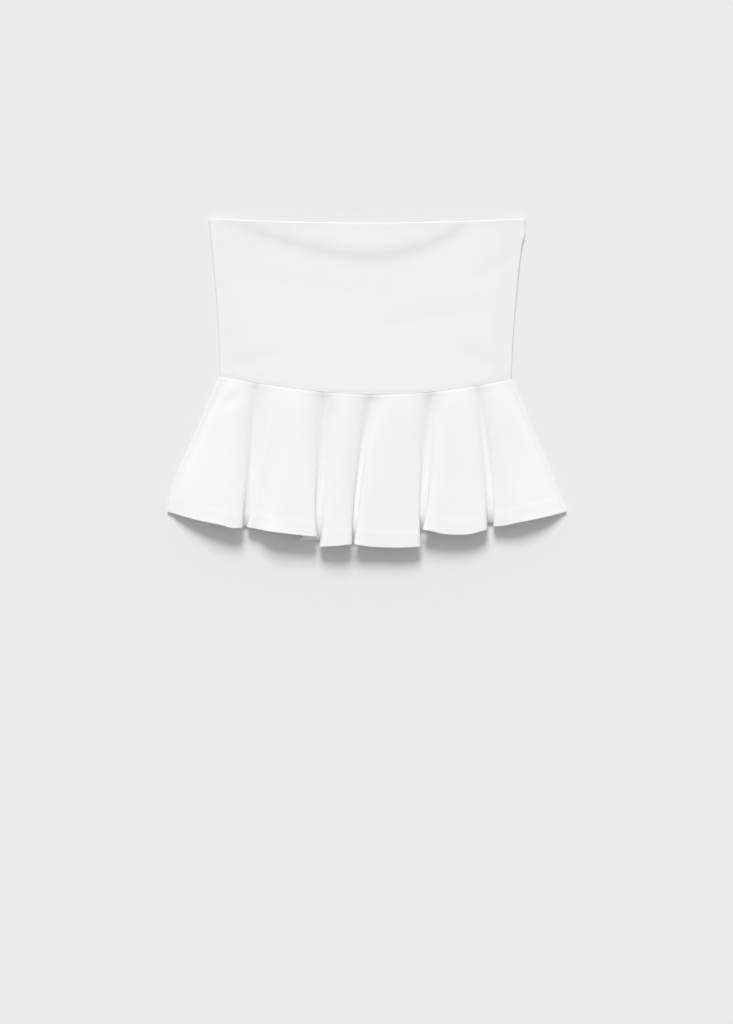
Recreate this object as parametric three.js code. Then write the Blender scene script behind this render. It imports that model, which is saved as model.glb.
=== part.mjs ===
// Peplum top: a strapless knit tube laid flat on its back, with a flared flounce sewn to its waist.
// Millimetres. X runs across the garment, Y from hem to neckline and Z up from the table it lies on.
// The origin is on the table, under the middle of the garment.
import * as THREE from "three";

// Cloth: a compact double knit, with a small gap wherever two pieces meet at a seam.
// Each flounce is one piece of cloth. Its solid is parted at the floors between its folds, with the same gap,
// so that each fold is a simple shape.
const CLOTH = 1.5;
const SEAM_GAP = 0.36;
const WHITE_KNIT = { color: 0xf3f3f1, roughness: 0.86, metalness: 0 };

// Bodice outline, measured flat.
const BUST_HALF = 186.5;
const WAIST_HALF = 172;
const SIDE_FLARE = 1.6;
const WAIST_SHIFT = -1.8;
const RIGHT_SWELL = { out: 2.2, y: 176, spread: 10 };
const NECK = { leftY: 193.8, rightY: 193.8, lowestY: 188.3, lowestAt: 0, leftPower: 1.9, rightPower: 1.9 };
const WAIST = { leftY: 8.2, rightY: 4.8, lowestY: -13.9, lowestAt: 0.08, leftPower: 1.8, rightPower: 2 };

// Heights above the table of the middle of each wall, and the roll of the cloth at the side seams.
// The bulk of the flounce holds the front of the waist up in an arch, which runs out to the sides and the neckline.
const BACK_Z = CLOTH / 2;
const FRONT_Z = 4.8;
const WAIST_ARCH = { lift: 5, power: 2.2 };
const SIDE_Z = 2.6;
const SIDE_ROLL = 2.2;
const SEAM_GROOVE = 0.8;
const GROOVE_WIDTH = 4;

// The slack front of the neckline stands up, and drops to the rest of the front along a crescent.
const BILLOW = {
  lift: 3.4, bottomX: -8, bottomY: 149.5, endY: 186, left: 146, right: 124, leftPower: 1.35, rightPower: 2.2,
  softness: 7, fullAt: 12,
};
const NECK_TURN = { width: 4.5, extra: 0.9 };
const BACK_NECK_LOWER = 1.2;

// Flounce: its crowns rise fast just below the waist seam, and then gently all the way to the hem.
// quick is the share of the height gained over that first distance.
const RISE = { quick: 0.16, over: 9, power: 0.9 };
const SEAM_RIDGE = { height: 0.9, full: 2.6, end: 7 };
const FOOT_Z = CLOTH * 1.5 + 0.4;
const FOLD_RADIUS = 1.7;
const SHOULDER = 5;
const HEM_CORNER = { left: -235.4, right: 235.5, y: -152.4 };
const SIDE_BOW = { left: 5.6, right: 1, power: 2.4, fade: 60 };

// One row for each valley between two flutes of the front, from left to right, as it is at the hem.
// fromSeam and toSeam bound its channel at the waist seam. leftX and rightX are the edges of the flutes beside it,
// with the hem's Y and the flute's height there. The cloth between them lies on the back from footLeft to footRight.
// leftSweep and rightSweep are 1 for a straight edge, and more for one that swings to its hem place early.
const VALLEYS = [
  { fromSeam: -142.5, toSeam: -118, leftX: -146.4, leftY: -170.4, leftZ: 17, leftSweep: 0.6,
    footLeft: -151, footRight: -139.8, footY: -168.6, rightX: -141.6, rightY: -169.9, rightZ: 12, rightSweep: 0.8 },
  { fromSeam: -70, toSeam: -40, leftX: -58.6, leftY: -181.1, leftZ: 20.5, leftSweep: 1.3,
    footLeft: -78.5, footRight: -54, footY: -185.2, rightX: -56, rightY: -193.6, rightZ: 17, rightSweep: 0.65 },
  { fromSeam: -14.5, toSeam: 16, leftX: -17.4, leftY: -190.1, leftZ: 17.5, leftSweep: 1,
    footLeft: -22.5, footRight: -10.5, footY: -187, rightX: -15.6, rightY: -189.8, rightZ: 16, rightSweep: 2.4 },
  { fromSeam: 55.5, toSeam: 85.5, leftX: 63.2, leftY: -190.5, leftZ: 15.8, leftSweep: 2.4,
    footLeft: 57, footRight: 72, footY: -172.5, rightX: 64.9, rightY: -173.3, rightZ: 15.2, rightSweep: 1.1 },
  { fromSeam: 121, toSeam: 137, leftX: 141.2, leftY: -172.3, leftZ: 15.5, leftSweep: 1.4,
    footLeft: 140.5, footRight: 150.5, footY: -164.5, rightX: 148.8, rightY: -168.5, rightZ: 13, rightSweep: 1.7 },
];

// One list for each flute of the front, with a row for each point along the hem that shapes its crown.
const CROWNS = [
  [{ x: -201.8, y: -161.5, z: 13.5, seamX: -160.5 }, { x: -170, y: -167.8, z: 17.5, seamX: -150 }],
  [{ x: -112.1, y: -175.6, z: 19, seamX: -97 }, { x: -80, y: -179.5, z: 21, seamX: -82 }],
  [{ x: -37, y: -192.1, z: 18.5, seamX: -27 }],
  [{ x: 3, y: -192.5, z: 16.8, seamX: 29 }, { x: 38, y: -193.7, z: 16.8, seamX: 43 }],
  [{ x: 90, y: -177.6, z: 17.6, seamX: 96 }, { x: 118, y: -178.1, z: 17.4, seamX: 108 }],
  [{ x: 174, y: -165.8, z: 15.6, seamX: 147.5 }, { x: 206.1, y: -159.3, z: 12.5, seamX: 159 }],
];

// One row for each soft pleat of the back, which stands up inside a flute of the front and leans over.
const BACK_PLEATS = [
  { x: -186, seamX: -154, height: 5, lean: 2.5 },
  { x: -100, seamX: -90, height: 7.5, lean: 4.5 },
  { x: -36, seamX: -28, height: 8.5, lean: -2.5 },
  { x: 26, seamX: 36, height: 8.5, lean: 4.5 },
  { x: 104, seamX: 102, height: 8, lean: -4.5 },
  { x: 190, seamX: 152, height: 5, lean: -2.5 },
];
const PLEAT = { foot: 8, neck: 2.4, bulge: 2.9, seamHalf: 6 };
const BACK_HEM = { sag: 23.5, power: 1.5 };

// Mesh steps. Those of a valley, a pleat and a crown count the columns from one point of the hem to the next.
const ROLL_STEPS = 3;
const BODICE_COLUMNS = 36;
const FRONT_BODICE_ROWS = [
  0, 0.01, 0.022, 0.1, 0.22, 0.36, 0.5, 0.6, 0.67, 0.73, 0.78, 0.82, 0.86, 0.9, 0.94, 0.97, 0.986, 1,
];
const BACK_BODICE_ROWS = [0, 0.2, 0.4, 0.6, 0.75, 0.84, 0.9, 0.96, 1];
const CROWN_STEPS = 3;
const VALLEY_STEPS = [2, 2, 1, 1, 1, 1, 2, 1, 1, 1, 1, 2, 2, CROWN_STEPS];
const VALLEY_MIDDLE = 6;
const PLEAT_STEPS = [1, 1, 1, 1, 2, 2, 1, 1, 1, 1, 4];
const FLOUNCE_ROWS = [0, 0.014, 0.034, 0.08, 0.16, 0.28, 0.44, 0.62, 0.81, 1];
const BACK_FLOUNCE_ROWS = [0, 0.08, 0.2, 0.38, 0.58, 0.79, 1];

const { lerp, clamp, smoothstep } = THREE.MathUtils;

// Y of an edge that dips between its two side ends, at s from -1 to 1 across it.
function dippedEdge(edge, s) {
  const side = s - edge.lowestAt;
  const [reach, power, endY] = side < 0
    ? [1 + edge.lowestAt, edge.leftPower, edge.leftY]
    : [1 - edge.lowestAt, edge.rightPower, edge.rightY];
  return lerp(edge.lowestY, endY, Math.abs(side / reach) ** power);
}

// Half the flat width of the bodice, t from 0 at the waist to 1 at the neckline.
const halfWidth = (t) => lerp(WAIST_HALF, BUST_HALF, t ** SIDE_FLARE);

// Y of the crescent where the billow ends, which runs into the neckline at both ends.
function crescentY(x) {
  const side = x - BILLOW.bottomX;
  const reach = side < 0 ? BILLOW.left : BILLOW.right;
  const power = side < 0 ? BILLOW.leftPower : BILLOW.rightPower;
  const share = clamp(Math.abs(side) / reach, 0, 1.3);
  return lerp(BILLOW.bottomY, BILLOW.endY, share ** power);
}

// Height that the arch of the waist adds at its seam, at s from -1 to 1 across it.
const archHeight = (s) => WAIST_ARCH.lift * (1 - Math.abs(s) ** WAIST_ARCH.power);

// Height that the slack neckline adds to the front.
function billow(x, y, neckY) {
  const edge = crescentY(x);
  const room = Math.max(neckY - edge, 0);
  const full = BILLOW.lift * (1 - Math.exp(-room / BILLOW.fullAt));
  return (full * (1 + Math.tanh((y - edge) / BILLOW.softness))) / 2;
}

// Columns across a panel: a rolled edge at each side with the given columns between.
// inset is the distance in from a side, and level is 0 at the side's edge and 1 where the roll ends.
function panelColumns(between) {
  const rolled = [];
  for (let i = 0; i < ROLL_STEPS; i++) {
    const angle = ((i / ROLL_STEPS) * Math.PI) / 2;
    rolled.push({ inset: SIDE_ROLL * (1 - Math.cos(angle)), level: Math.sin(angle) });
  }
  return [
    ...rolled.map((r) => ({ side: -1, ...r })),
    ...between.map((b) => ({ side: 0, ...b })),
    ...rolled.reverse().map((r) => ({ side: 1, ...r })),
  ];
}

const evenSteps = (count) => Array.from({ length: count + 1 }, (_, i) => i / count);
const bodiceColumns = panelColumns(evenSteps(BODICE_COLUMNS).map((share) => ({ share })));

// X of a column between a left and a right edge.
function columnX(column, left, right) {
  if (column.side < 0) return left + column.inset;
  if (column.side > 0) return right - column.inset;
  return lerp(left + SIDE_ROLL, right - SIDE_ROLL, column.share);
}

// Plan position of a bodice column at t. The right side swells out a little just under the neckline.
function bodicePlan(column, t) {
  const half = halfWidth(t) - CLOTH / 2;
  const centre = WAIST_SHIFT * (1 - t);
  const height = lerp(WAIST.rightY, NECK.rightY, t);
  const swell = RIGHT_SWELL.out * Math.exp(-(((height - RIGHT_SWELL.y) / RIGHT_SWELL.spread) ** 2));
  const x = columnX(column, centre - half, centre + half + swell);
  const s = clamp((x - centre) / half, -1, 1);
  return { x, seamY: dippedEdge(WAIST, s), neckY: dippedEdge(NECK, s), arch: archHeight(s) * (1 - t) };
}

function frontBodicePoint(column, t) {
  const { x, seamY, neckY, arch } = bodicePlan(column, t);
  const y = lerp(seamY + SEAM_GAP / 2, neckY, t);
  const groove = SEAM_GROOVE * (1 - smoothstep(y - seamY, 0, GROOVE_WIDTH));
  const flat = FRONT_Z + arch + billow(x, y, neckY) - groove;
  const edge = SIDE_Z + SEAM_GAP / 2;
  return new THREE.Vector3(x, y, lerp(edge, flat, column.side ? column.level : 1));
}

function backBodicePoint(column, t) {
  const { x, seamY, neckY } = bodicePlan(column, t);
  const y = lerp(seamY + SEAM_GAP / 2, neckY - BACK_NECK_LOWER, t);
  const edge = SIDE_Z - SEAM_GAP / 2;
  return new THREE.Vector3(x, y, lerp(edge, BACK_Z, column.side ? column.level : 1));
}

// The turned neckline of the front is thicker than the rest.
function neckThickness(point, t) {
  const below = (1 - t) * (NECK.leftY - WAIST.leftY);
  return CLOTH + NECK_TURN.extra * (1 - smoothstep(below, NECK_TURN.width * 0.6, NECK_TURN.width * 1.4));
}

// The fold at one side of a valley at the hem, from the flute's shoulder down and round to the valley's floor.
// out points from the valley to the flute: -1 on the left side and 1 on the right.
function foldStations(v, out, edge, foot, seams) {
  const wallX = edge.x + (out * CLOTH) / 2;
  const roundX = foot - (out * FOLD_RADIUS) / 2;
  const footTop = FOOT_Z + FOLD_RADIUS * 2;
  return [
    { x: edge.x + out * SHOULDER, y: edge.y, z: edge.z },
    { x: edge.x + out * (CLOTH / 2 + 1.2), y: edge.y, z: lerp(footTop, edge.z, 0.86) },
    { x: wallX, y: edge.y, z: lerp(footTop, edge.z, 0.5) },
    { x: lerp(wallX, roundX, 0.5), y: lerp(edge.y, v.footY, 0.4), z: lerp(footTop, edge.z, 0.2) },
    { x: roundX, y: lerp(edge.y, v.footY, 0.8), z: footTop - FOLD_RADIUS * 0.25 },
    { x: foot, y: v.footY, z: FOOT_Z + FOLD_RADIUS * 0.9 },
    { x: roundX, y: v.footY, z: FOOT_Z },
  ].map((s, i) => ({ ...s, seamX: seams[i], sweep: lerp(edge.sweep, (v.leftSweep + v.rightSweep) / 2, i / 6) }));
}

// Both folds of one valley. Toward the seam the fold opens out, so each side takes its share of the channel.
function valleyStations(v) {
  const along = (share) => lerp(v.fromSeam, v.toSeam, share);
  const left = { x: v.leftX, y: v.leftY, z: v.leftZ, sweep: v.leftSweep };
  const right = { x: v.rightX, y: v.rightY, z: v.rightZ, sweep: v.rightSweep };
  const leftSeams = [-0.12, 0.02, 0.12, 0.21, 0.29, 0.36, 0.44].map(along);
  const rightSeams = [1.12, 0.98, 0.88, 0.79, 0.71, 0.64, 0.56].map(along);
  const stations = [
    ...foldStations(v, -1, left, v.footLeft, leftSeams),
    ...foldStations(v, 1, right, v.footRight, rightSeams).reverse(),
  ];
  return stations.map((s, i) => ({ ...s, steps: VALLEY_STEPS[i], parted: i === VALLEY_MIDDLE }));
}

const backHemY = (x) => HEM_CORNER.y - BACK_HEM.sag * (1 - Math.abs(x / HEM_CORNER.right) ** BACK_HEM.power);

// Points that shape one pleat of the back at the hem.
function pleatStations(p) {
  const at = (out, up, leaning, seam) => ({
    x: p.x + out + p.lean * leaning, y: backHemY(p.x), z: BACK_Z + up, seamX: p.seamX + seam * PLEAT.seamHalf, sweep: 1,
  });
  const stations = [
    at(-PLEAT.foot, 0, 0, -1),
    at(-PLEAT.neck * 1.6, 0.15, 0, -0.8),
    at(-PLEAT.neck, p.height * 0.2, 0.1, -0.6),
    at(-PLEAT.bulge, p.height * 0.5, 0.45, -0.4),
    at(-PLEAT.bulge, p.height * 0.82, 0.9, -0.2),
    at(0, p.height, 1, 0),
    at(PLEAT.bulge, p.height * 0.82, 0.9, 0.2),
    at(PLEAT.bulge, p.height * 0.5, 0.45, 0.4),
    at(PLEAT.neck, p.height * 0.2, 0.1, 0.6),
    at(PLEAT.neck * 1.6, 0.15, 0, 0.8),
    at(PLEAT.foot, 0, 0, 1),
  ];
  const parted = p !== BACK_PLEATS[BACK_PLEATS.length - 1];
  return stations.map((s, i) => ({ ...s, steps: PLEAT_STEPS[i], parted: parted && i === stations.length - 1 }));
}

// The ends of the flounce at the waist seam and the hem, up to where it rolls over to the other side.
const SEAM_ENDS = { left: WAIST_SHIFT - WAIST_HALF + CLOTH / 2, right: WAIST_SHIFT + WAIST_HALF - CLOTH / 2 };
const HEM_ENDS = { left: HEM_CORNER.left + CLOTH / 2, right: HEM_CORNER.right - CLOTH / 2 };
const cornerStation = (end, out, z) => ({
  x: HEM_ENDS[end] - out * SIDE_ROLL, y: HEM_CORNER.y, z, seamX: SEAM_ENDS[end] - out * SIDE_ROLL, sweep: 1,
  steps: CROWN_STEPS,
});

const frontStations = [
  cornerStation("left", -1, FRONT_Z),
  ...CROWNS.flatMap((crown, i) => [
    ...crown.map((c) => ({ ...c, sweep: 1, steps: CROWN_STEPS })),
    ...(i < VALLEYS.length ? valleyStations(VALLEYS[i]) : []),
  ]),
  cornerStation("right", 1, FRONT_Z),
];
const backStations = [
  cornerStation("left", -1, BACK_Z),
  ...BACK_PLEATS.flatMap(pleatStations),
  cornerStation("right", 1, BACK_Z),
];

// Smooths the stations into a closely stepped hem line, each point with its place on the waist seam.
// parted marks the points where the flounce's solid is parted.
function hemLine(stations, lowestZ) {
  const curve = new THREE.CatmullRomCurve3(stations.map((s) => new THREE.Vector3(s.x, s.y, s.z)), false, "centripetal");
  const line = [];
  const last = stations.length - 1;
  for (let i = 0; i < last; i++) {
    const from = stations[i];
    const to = stations[i + 1];
    for (let k = 0; k < from.steps; k++) {
      const share = k / from.steps;
      const point = curve.getPoint((i + share) / last);
      point.z = Math.max(point.z, lowestZ);
      const parted = Boolean(from.parted) && k === from.steps / 2;
      line.push({ point, parted, seamX: lerp(from.seamX, to.seamX, share), sweep: lerp(from.sweep, to.sweep, share) });
    }
  }
  const end = stations[last];
  line.push({ point: new THREE.Vector3(end.x, end.y, end.z), seamX: end.seamX, sweep: end.sweep });
  return line;
}

// A column moved sideways, along the seam and the hem alike.
const shiftedColumn = (column, by) => {
  const { point, seamX, sweep } = column.hem;
  return { side: 0, hem: { point: point.clone().setX(point.x + by), seamX: seamX + by, sweep } };
};

// Place on the seam and on the hem of a flounce column.
function columnEnds(column, stations) {
  if (!column.side) return column.hem;
  const end = column.side < 0 ? "left" : "right";
  const { y, z } = column.side < 0 ? stations[0] : stations[stations.length - 1];
  const x = HEM_ENDS[end] - column.side * column.inset;
  return { point: new THREE.Vector3(x, y, z), seamX: SEAM_ENDS[end] - column.side * column.inset, sweep: 1 };
}

// Sideways bow of the flounce's side edges, which fades toward the middle.
function sideBow(hemX, t) {
  const arc = Math.sin(Math.PI * t ** SIDE_BOW.power);
  const left = SIDE_BOW.left * (1 - smoothstep(hemX - HEM_CORNER.left, 0, SIDE_BOW.fade));
  const right = SIDE_BOW.right * (1 - smoothstep(HEM_CORNER.right - hemX, 0, SIDE_BOW.fade));
  return (right - left) * arc;
}

// A flounce panel: the columns of each of its parts, and the point of a column at t from 0 at the waist seam
// to 1 at the hem.
function flouncePanel({ stations, lowestZ, seamZ, edgeZ, ridge, arched }) {
  const columns = panelColumns(hemLine(stations, lowestZ).map((hem) => ({ hem })));
  const parts = [[]];
  for (const column of columns) {
    const last = parts[parts.length - 1];
    if (column.hem && column.hem.parted) {
      last.push(shiftedColumn(column, -SEAM_GAP / 2));
      parts.push([shiftedColumn(column, SEAM_GAP / 2)]);
    } else last.push(column);
  }
  const point = (column, t) => {
    const { point: hem, seamX, sweep } = columnEnds(column, stations);
    const s = clamp((seamX - WAIST_SHIFT) / (WAIST_HALF - CLOTH / 2), -1, 1);
    const seamY = dippedEdge(WAIST, s) - SEAM_GAP / 2;
    const below = (seamY - hem.y) * t;
    const ridgeUp = smoothstep(below, 0, SEAM_RIDGE.full) * (1 - smoothstep(below, SEAM_RIDGE.full, SEAM_RIDGE.end));
    const quick = RISE.quick * (1 - Math.exp(-below / RISE.over));
    const risen = quick + (1 - RISE.quick) * t ** RISE.power;
    const flat = lerp(seamZ + arched * archHeight(s), hem.z, risen) + ridge * ridgeUp;
    const x = lerp(seamX, hem.x, 1 - (1 - t) ** sweep) + sideBow(hem.x, t);
    return new THREE.Vector3(x, lerp(seamY, hem.y, t), lerp(edgeZ, flat, column.side ? column.level : 1));
  };
  return { parts, point };
}

const frontFlounce = flouncePanel({
  stations: frontStations, lowestZ: FOOT_Z, seamZ: FRONT_Z - SEAM_GROOVE, edgeZ: SIDE_Z + SEAM_GAP / 2,
  ridge: SEAM_RIDGE.height, arched: 1,
});
const backFlounce = flouncePanel({
  stations: backStations, lowestZ: BACK_Z, seamZ: BACK_Z, edgeZ: SIDE_Z - SEAM_GAP / 2, ridge: 0, arched: 0,
});

// A closed wall of cloth around a middle surface, which is a grid of columns across and rows along.
// Its first row lies on the waist seam, and is cut square to it, as is an outer column on a side seam.
function clothWall(columns, rows, pointAt, thicknessAt = () => CLOTH) {
  const grid = columns.map((column) => rows.map((t) => pointAt(column, t)));
  const across = columns.length;
  const along = rows.length;
  const step = (i, j, di, dj) => {
    const a = grid[clamp(i - di, 0, across - 1)][clamp(j - dj, 0, along - 1)];
    const b = grid[clamp(i + di, 0, across - 1)][clamp(j + dj, 0, along - 1)];
    return b.clone().sub(a);
  };
  const positions = [];
  for (const face of [1, -1]) {
    for (let i = 0; i < across; i++) {
      for (let j = 0; j < along; j++) {
        const normal = step(i, j, 1, 0).cross(step(i, j, 0, 1));
        if ((i === 0 || i === across - 1) && columns[i].side) normal.setZ(0);
        if (j === 0) normal.setY(0);
        const half = thicknessAt(grid[i][j], rows[j]) / 2;
        const corner = grid[i][j].clone().addScaledVector(normal.normalize(), face * half);
        positions.push(corner.x, corner.y, Math.max(corner.z, 0));
      }
    }
  }
  const index = [];
  const outer = (i, j) => i * along + j;
  const inner = (i, j) => across * along + outer(i, j);
  const quad = (a, b, c, d) => index.push(a, b, c, a, c, d);
  for (let i = 0; i < across - 1; i++) {
    for (let j = 0; j < along - 1; j++) {
      quad(outer(i, j), outer(i + 1, j), outer(i + 1, j + 1), outer(i, j + 1));
      quad(inner(i, j), inner(i, j + 1), inner(i + 1, j + 1), inner(i + 1, j));
    }
    quad(outer(i, 0), inner(i, 0), inner(i + 1, 0), outer(i + 1, 0));
    quad(outer(i, along - 1), outer(i + 1, along - 1), inner(i + 1, along - 1), inner(i, along - 1));
  }
  for (let j = 0; j < along - 1; j++) {
    quad(outer(0, j), outer(0, j + 1), inner(0, j + 1), inner(0, j));
    quad(outer(across - 1, j), inner(across - 1, j), inner(across - 1, j + 1), outer(across - 1, j + 1));
  }
  const geometry = new THREE.BufferGeometry();
  geometry.setAttribute("position", new THREE.Float32BufferAttribute(positions, 3));
  geometry.setIndex(index);
  geometry.computeVertexNormals();
  return geometry;
}

function piece(name, geometry) {
  const mesh = new THREE.Mesh(geometry, new THREE.MeshStandardMaterial(WHITE_KNIT));
  mesh.name = name;
  return mesh;
}

// The parts of a flounce. Rows run down it from the waist, and up the bodice, so its columns go the other way.
const flouncePieces = (name, panel, rows) =>
  panel.parts.map((columns, i) => piece(`${name}_${i + 1}`, clothWall([...columns].reverse(), rows, panel.point)));

const garment = new THREE.Group();
garment.add(
  piece("front_bodice", clothWall(bodiceColumns, FRONT_BODICE_ROWS, frontBodicePoint, neckThickness)),
  piece("back_bodice", clothWall(bodiceColumns, BACK_BODICE_ROWS, backBodicePoint)),
  ...flouncePieces("front_flounce", frontFlounce, FLOUNCE_ROWS),
  ...flouncePieces("back_flounce", backFlounce, BACK_FLOUNCE_ROWS),
);

export default garment;
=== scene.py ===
import math
import bpy
import numpy as np
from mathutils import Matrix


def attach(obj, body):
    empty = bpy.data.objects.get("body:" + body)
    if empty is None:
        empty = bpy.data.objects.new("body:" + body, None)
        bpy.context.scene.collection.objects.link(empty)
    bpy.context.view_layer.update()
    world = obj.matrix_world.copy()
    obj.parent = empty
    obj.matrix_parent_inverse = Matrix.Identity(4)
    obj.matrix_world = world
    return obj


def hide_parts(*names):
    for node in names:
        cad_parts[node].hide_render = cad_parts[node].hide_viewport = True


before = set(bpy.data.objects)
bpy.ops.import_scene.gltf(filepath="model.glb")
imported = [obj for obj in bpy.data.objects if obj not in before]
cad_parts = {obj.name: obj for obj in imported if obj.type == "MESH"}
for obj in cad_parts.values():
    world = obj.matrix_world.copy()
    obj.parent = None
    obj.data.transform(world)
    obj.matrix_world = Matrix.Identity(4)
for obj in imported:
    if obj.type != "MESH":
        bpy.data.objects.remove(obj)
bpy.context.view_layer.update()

# Front bodice. One smooth panel of compact double knit, cut to the half bust and the half waist.
# Its side edges roll over to meet the back, and its neckline is turned in and stands up slack, so that
# the cloth drops to the flat front along a soft crescent.
MM = 0.001
CLOTH = 1.2
BODICE_DEPTH = 186.0
BODICE_COLUMNS = 181
BODICE_ROWS = {"length": 198.0, "edge_start": 1.2, "edge_end": 1.6, "step": 2.2}
EDGE_LEAST = 0.12
SEAM_TUCK = 0.08
BUST_HALF = 186.5
WAIST_HALF = 172.0
SIDE_FLARE = 1.6
WAIST_SHIFT = -1.8
NECK = {
    "left_y": 193.8, "right_y": 193.8, "lowest_y": 188.3, "lowest_at": 0.0,
    "left_power": 1.9, "right_power": 1.9,
}
WAIST = {
    "left_y": 8.2, "right_y": 4.8, "lowest_y": -13.9, "lowest_at": 0.08,
    "left_power": 1.8, "right_power": 2.0,
}
RIGHT_SWELL = {"out": 2.2, "y": 176.0, "spread": 10.0}
FRONT_Z = 4.8
WAIST_ARCH = {"lift": 5.0, "power": 2.2}
SIDE_Z = 1.8
SIDE_ROLL = 0.7
ROLL_COLUMNS = 8
SIDE_FALL = {"depth": 2.2, "width": 28.0}
SEAM_GROOVE = {"depth": 0.3, "width": 4.5, "flounce": 0.5}
SEAM_PRESS = 2.5
BILLOW = {
    "lift": 2.9, "bottom_x": -8.0, "bottom_y": 149.5, "end_y": 186.0, "left": 146.0, "right": 124.0,
    "left_power": 1.35, "right_power": 2.2, "past_ends": 1.3, "softness": 8.5, "full_at": 12.0,
}
NECK_TURN = {"from": 1.8, "to": 7.2, "extra": 0.3}
# Soft creases of a panel: each runs from one place to another, with its depth, its half width and how far
# it takes to fade at its ends. A depth below zero is a trough.
FRONT_CREASES = [
    {"x0": -150, "y0": 120, "x1": 40, "y1": 96, "depth": -0.35, "width": 16, "fade": 70},
    {"x0": -20, "y0": 60, "x1": 150, "y1": 88, "depth": -0.3, "width": 14, "fade": 60},
    {"x0": -165, "y0": 14, "x1": -90, "y1": 40, "depth": -0.3, "width": 9, "fade": 30},
    {"x0": 165, "y0": 12, "x1": 96, "y1": 44, "depth": -0.3, "width": 9, "fade": 30},
    {"x0": 176, "y0": 150, "x1": 120, "y1": 118, "depth": -0.4, "width": 10, "fade": 30},
]


def smoothstep(value, low, high):
    share = np.clip((value - low) / (high - low), 0.0, 1.0)
    return share * share * (3.0 - 2.0 * share)


def mixed(a, b, share):
    return a + (b - a) * share


def dipped_edge(edge, s):
    """Y of an edge that dips between its two side ends, at s from -1 to 1 across it."""
    side = s - edge["lowest_at"]
    left = side < 0
    reach = np.where(left, 1 + edge["lowest_at"], 1 - edge["lowest_at"])
    power = np.where(left, edge["left_power"], edge["right_power"])
    end = np.where(left, edge["left_y"], edge["right_y"])
    return mixed(edge["lowest_y"], end, np.abs(side / reach) ** power)


def arch_height(s):
    """Height that the bulk of the flounce adds to the front's waist, at s from -1 to 1 across it."""
    return WAIST_ARCH["lift"] * (1 - np.abs(s) ** WAIST_ARCH["power"])


def side_fall(s):
    """How far the cloth sinks toward its side edges, at s from -1 to 1 across it."""
    return SIDE_FALL["depth"] * (1 - smoothstep((1 - np.abs(s)) * WAIST_HALF, 0, SIDE_FALL["width"]))


def billow(x, y, neck_y):
    """Height that the slack neckline adds to the front."""
    side = x - BILLOW["bottom_x"]
    reach = np.where(side < 0, BILLOW["left"], BILLOW["right"])
    power = np.where(side < 0, BILLOW["left_power"], BILLOW["right_power"])
    from_bottom = np.clip(np.abs(side) / reach, 0, BILLOW["past_ends"])
    crescent = mixed(BILLOW["bottom_y"], BILLOW["end_y"], from_bottom ** power)
    full = BILLOW["lift"] * (1 - np.exp(-np.maximum(neck_y - crescent, 0) / BILLOW["full_at"]))
    return full * (1 + np.tanh((y - crescent) / BILLOW["softness"])) / 2


def creases(rows, x, y):
    """Height that a panel's soft creases add at x, y."""
    total = np.zeros_like(x)
    for row in rows:
        start = np.array([row["x0"], row["y0"]], float)
        run = np.array([row["x1"], row["y1"]], float) - start
        length = np.hypot(*run)
        along = ((x - start[0]) * run[0] + (y - start[1]) * run[1]) / length
        across = ((x - start[0]) * run[1] - (y - start[1]) * run[0]) / length
        ends = smoothstep(along, -row["fade"] / 3, row["fade"]) * (
            1 - smoothstep(along, length - row["fade"], length + row["fade"] / 3))
        total += row["depth"] * ends * np.exp(-((across / row["width"]) ** 2))
    return total


def rolled_columns(between):
    """Columns across a panel. Side is -1 or 1 on the roll at a side edge, where level climbs to 1."""
    angle = np.linspace(0, math.pi / 2, ROLL_COLUMNS + 1)[:-1]
    inset = SIDE_ROLL * (1 - np.cos(angle))
    level = np.sin(angle)
    count = len(between)
    return {
        "side": np.r_[-np.ones(ROLL_COLUMNS), np.zeros(count), np.ones(ROLL_COLUMNS)],
        "inset": np.r_[inset, np.zeros(count), inset[::-1]],
        "level": np.r_[level, np.ones(count), level[::-1]],
        "share": np.r_[np.zeros(ROLL_COLUMNS), between, np.ones(ROLL_COLUMNS)],
    }


def row_steps(length, edge_start, edge_end, step):
    """Rows along a panel, from 0 to 1, that crowd at both cut edges so that these come out round."""
    fine = np.array([0, 0.03, 0.12, 0.27, 0.45, 0.6, 1.0])
    start = fine * edge_start
    end = length - fine[::-1] * edge_end
    middle = np.linspace(edge_start, length - edge_end, int(length / step))[1:-1]
    return np.r_[start, middle, end] / length


def rounded_edge(distance, thickness):
    """Thickness near a cut or folded edge, which ends in a half round with a narrow flat."""
    reach = np.clip(distance / (thickness / 2), 0, 1)
    return thickness * np.maximum(np.sqrt(1 - (1 - reach) ** 2), EDGE_LEAST)


def bodice_plan(columns, t):
    """Plan of the bodice: X and s of each column at each row, and Y of the seam and the neckline there."""
    half = mixed(WAIST_HALF, BUST_HALF, t ** SIDE_FLARE) - CLOTH / 2
    centre = WAIST_SHIFT * (1 - t)
    height = mixed(WAIST["right_y"], NECK["right_y"], t)
    swell = RIGHT_SWELL["out"] * np.exp(-(((height - RIGHT_SWELL["y"]) / RIGHT_SWELL["spread"]) ** 2))
    left = centre - half
    right = centre + half + swell
    side = columns["side"][:, None]
    inset = columns["inset"][:, None]
    share = columns["share"][:, None]
    between = mixed(left + SIDE_ROLL, right - SIDE_ROLL, share)
    x = np.where(side < 0, left + inset, np.where(side > 0, right - inset, between))
    s = np.clip((x - centre) / half, -1, 1)
    return x, s, dipped_edge(WAIST, s), dipped_edge(NECK, s)


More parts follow.
